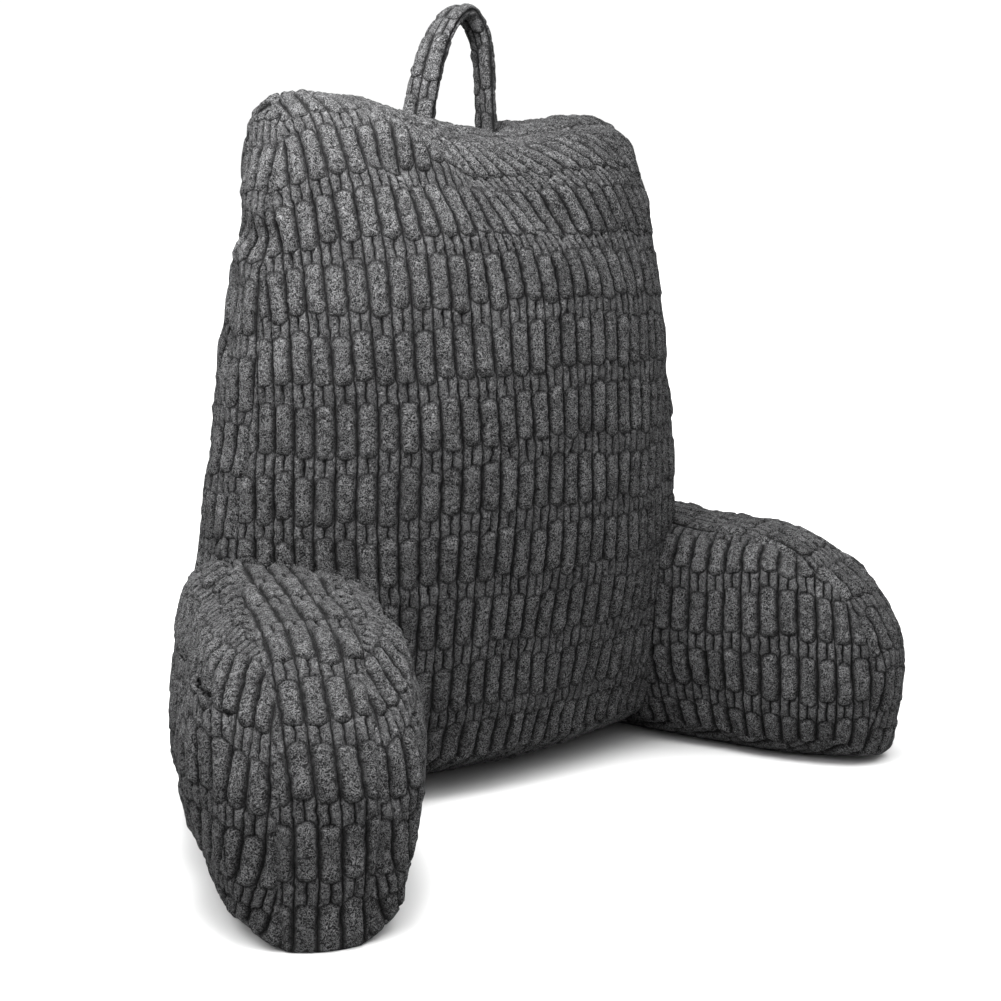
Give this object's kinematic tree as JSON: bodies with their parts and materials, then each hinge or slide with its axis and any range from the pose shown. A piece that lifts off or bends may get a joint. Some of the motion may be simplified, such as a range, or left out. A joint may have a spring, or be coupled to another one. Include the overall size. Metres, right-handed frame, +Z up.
{
  "type": "reading pillow",
  "caption": "Stuffed back-rest pillow in ribbed plush, with splayed arms, a carry loop on top and a patch pocket on the outer side of an arm.",
  "frame": {"origin": "on the surface the pillow stands on, under the middle of its box", "axes": "+Z up, -Y to the front where the arms reach, +X towards the arm without a pocket"},
  "size_m": [0.6916, 0.4308, 0.6185],
  "materials": {
    "backrest_plush": "charcoal plush with fat brick-like ribs, matt and fuzzy",
    "arm_left_plush": "charcoal plush with fat brick-like ribs, matt and fuzzy",
    "arm_right_plush": "charcoal plush with fat brick-like ribs, matt and fuzzy",
    "handle_plush": "charcoal plush with fat brick-like ribs, matt and fuzzy",
    "pocket_plush": "charcoal plush with fat brick-like ribs, matt and fuzzy"
  },
  "bodies": {
    "root": {"backrest": "backrest_plush", "arm_left": "arm_left_plush", "arm_right": "arm_right_plush", "handle": "handle_plush", "pocket": "pocket_plush"}
  },
  "joints": []
}
